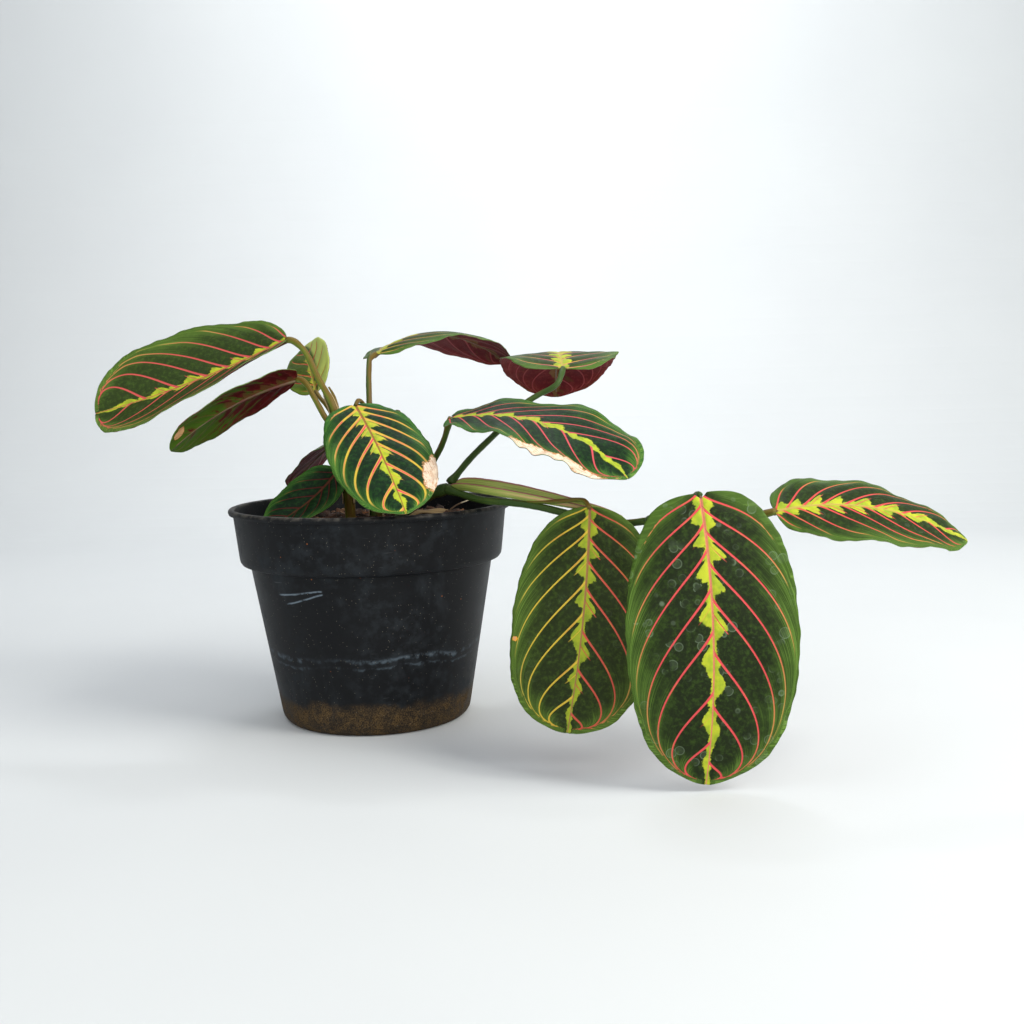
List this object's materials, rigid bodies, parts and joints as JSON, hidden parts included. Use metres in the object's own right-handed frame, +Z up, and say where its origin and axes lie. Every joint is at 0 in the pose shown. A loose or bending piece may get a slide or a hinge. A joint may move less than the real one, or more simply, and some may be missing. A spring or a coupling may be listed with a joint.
{
  "type": "potted prayer plant",
  "caption": "A prayer plant with herringbone-patterned leaves that arch and trail over one side of a black plastic nursery pot.",
  "frame": {"origin": "the middle of the pot's flat base", "axes": "+X towards the trailing side, +Y away from the viewer, +Z up"},
  "size_m": [0.3982, 0.2345, 0.2],
  "materials": {
    "pot_plastic": "satin",
    "potting_soil": "matte",
    "stem": "satin",
    "leaf_blade": "satin"
  },
  "bodies": {
    "root": {"pot": "pot_plastic", "soil": "potting_soil", "left_shoot": "stem", "middle_shoot": "stem", "runner": "stem", "leaf_upper_left": "leaf_blade", "leaf_lower_left": "leaf_blade", "leaf_young": "leaf_blade", "leaf_front": "leaf_blade", "leaf_low_front": "leaf_blade", "leaf_low_back": "leaf_blade", "leaf_top": "leaf_blade", "leaf_arched": "leaf_blade", "leaf_dried_edge": "leaf_blade", "leaf_hanging_inner": "leaf_blade", "leaf_hanging_outer": "leaf_blade", "leaf_far_right": "leaf_blade"}
  },
  "joints": []
}
